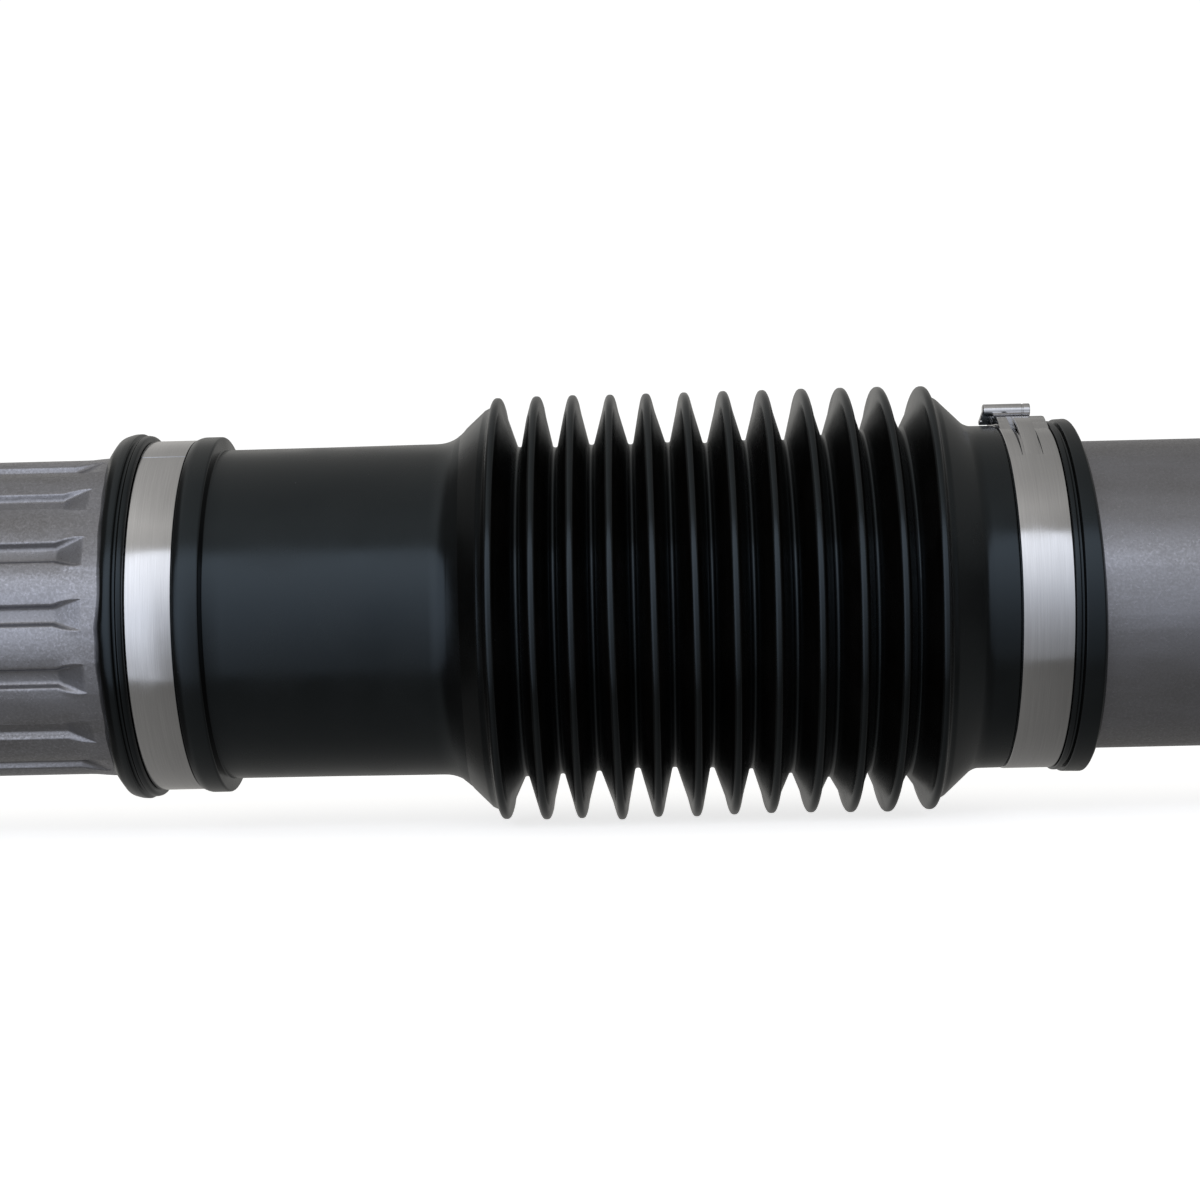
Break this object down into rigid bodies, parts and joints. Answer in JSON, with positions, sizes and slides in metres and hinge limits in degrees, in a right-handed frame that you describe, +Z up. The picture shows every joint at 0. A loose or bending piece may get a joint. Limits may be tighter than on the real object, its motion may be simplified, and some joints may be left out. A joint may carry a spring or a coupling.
{
  "type": "drive shaft",
  "caption": "Tubular drive shaft: a splined slip joint under a bellows boot held by two steel bands, with a universal joint and a bolted flange at each end.",
  "frame": {"origin": "centre of the left flange's mating face, on the shaft's axis", "axes": "+X along the shaft towards the right flange, +Z up, the left trunnion axis of the weld yoke along Z"},
  "size_m": [0.7648, 0.089, 0.089],
  "materials": {
    "tube_steel": "bare drawn tube, blasted, slightly mottled",
    "plug_steel": "pressed sheet steel",
    "boot_rubber": "satin moulded thermoplastic rubber",
    "band_steel": "satin stainless strip",
    "forged_steel": "forged scale with machined faces",
    "weld_steel": "rippled weld bead",
    "cross_steel": "forged body with ground trunnions",
    "cup_steel": "ground bearing steel",
    "washer_plastic": "natural nylon",
    "spring_steel": "phosphated spring steel",
    "seal_rubber": "moulded rubber lip seal",
    "fitting_steel": "yellow zinc plated steel"
  },
  "bodies": {
    "outer_shaft": {"outer_slip_tube": "tube_steel", "grease_plug": "plug_steel", "boot": "boot_rubber", "left_clamp_band": "band_steel", "left_weld_yoke": "forged_steel", "left_weld_bead": "weld_steel", "left_shaft_cups": "cup_steel", "left_shaft_needles": "cup_steel", "left_shaft_washers": "washer_plastic", "left_shaft_snap_rings": "spring_steel"},
    "inner_shaft": {"inner_slip_tube": "tube_steel", "nose_plug": "plug_steel", "right_clamp_band": "band_steel", "right_clamp_bar": "band_steel", "right_weld_yoke": "forged_steel", "right_weld_bead": "weld_steel", "right_shaft_cups": "cup_steel", "right_shaft_needles": "cup_steel", "right_shaft_washers": "washer_plastic", "right_shaft_snap_rings": "spring_steel"},
    "left_cross_body": {"left_cross": "cross_steel", "left_cross_seals": "seal_rubber", "left_grease_fitting": "fitting_steel"},
    "left_flange": {"left_flange_yoke": "forged_steel", "left_flange_cups": "cup_steel", "left_flange_needles": "cup_steel", "left_flange_washers": "washer_plastic", "left_flange_snap_rings": "spring_steel"},
    "right_cross_body": {"right_cross": "cross_steel", "right_cross_seals": "seal_rubber", "right_grease_fitting": "fitting_steel"},
    "right_flange": {"right_flange_yoke": "forged_steel", "right_flange_cups": "cup_steel", "right_flange_needles": "cup_steel", "right_flange_washers": "washer_plastic", "right_flange_snap_rings": "spring_steel"}
  },
  "joints": [
    {"name": "slip_travel", "type": "slide", "parent": "outer_shaft", "child": "inner_shaft", "axis": [1, 0, 0], "range_m": [-0.03, 0.04], "deforming": ["boot"]},
    {"name": "left_cross_turn", "type": "hinge", "parent": "outer_shaft", "child": "left_cross_body", "pos_m": [0.0445, 0, 0], "axis": [0, 0, 1], "range_deg": [-18, 18]},
    {"name": "left_flange_turn", "type": "hinge", "parent": "left_cross_body", "child": "left_flange", "pos_m": [0.0445, 0, 0], "axis": [0, 1, 0], "range_deg": [-18, 18]},
    {"name": "right_cross_turn", "type": "hinge", "parent": "inner_shaft", "child": "right_cross_body", "pos_m": [0.7155, 0, 0], "axis": [0, 0, 1], "range_deg": [-18, 18]},
    {"name": "right_flange_turn", "type": "hinge", "parent": "right_cross_body", "child": "right_flange", "pos_m": [0.7155, 0, 0], "axis": [0, 1, 0], "range_deg": [-18, 18]}
  ]
}
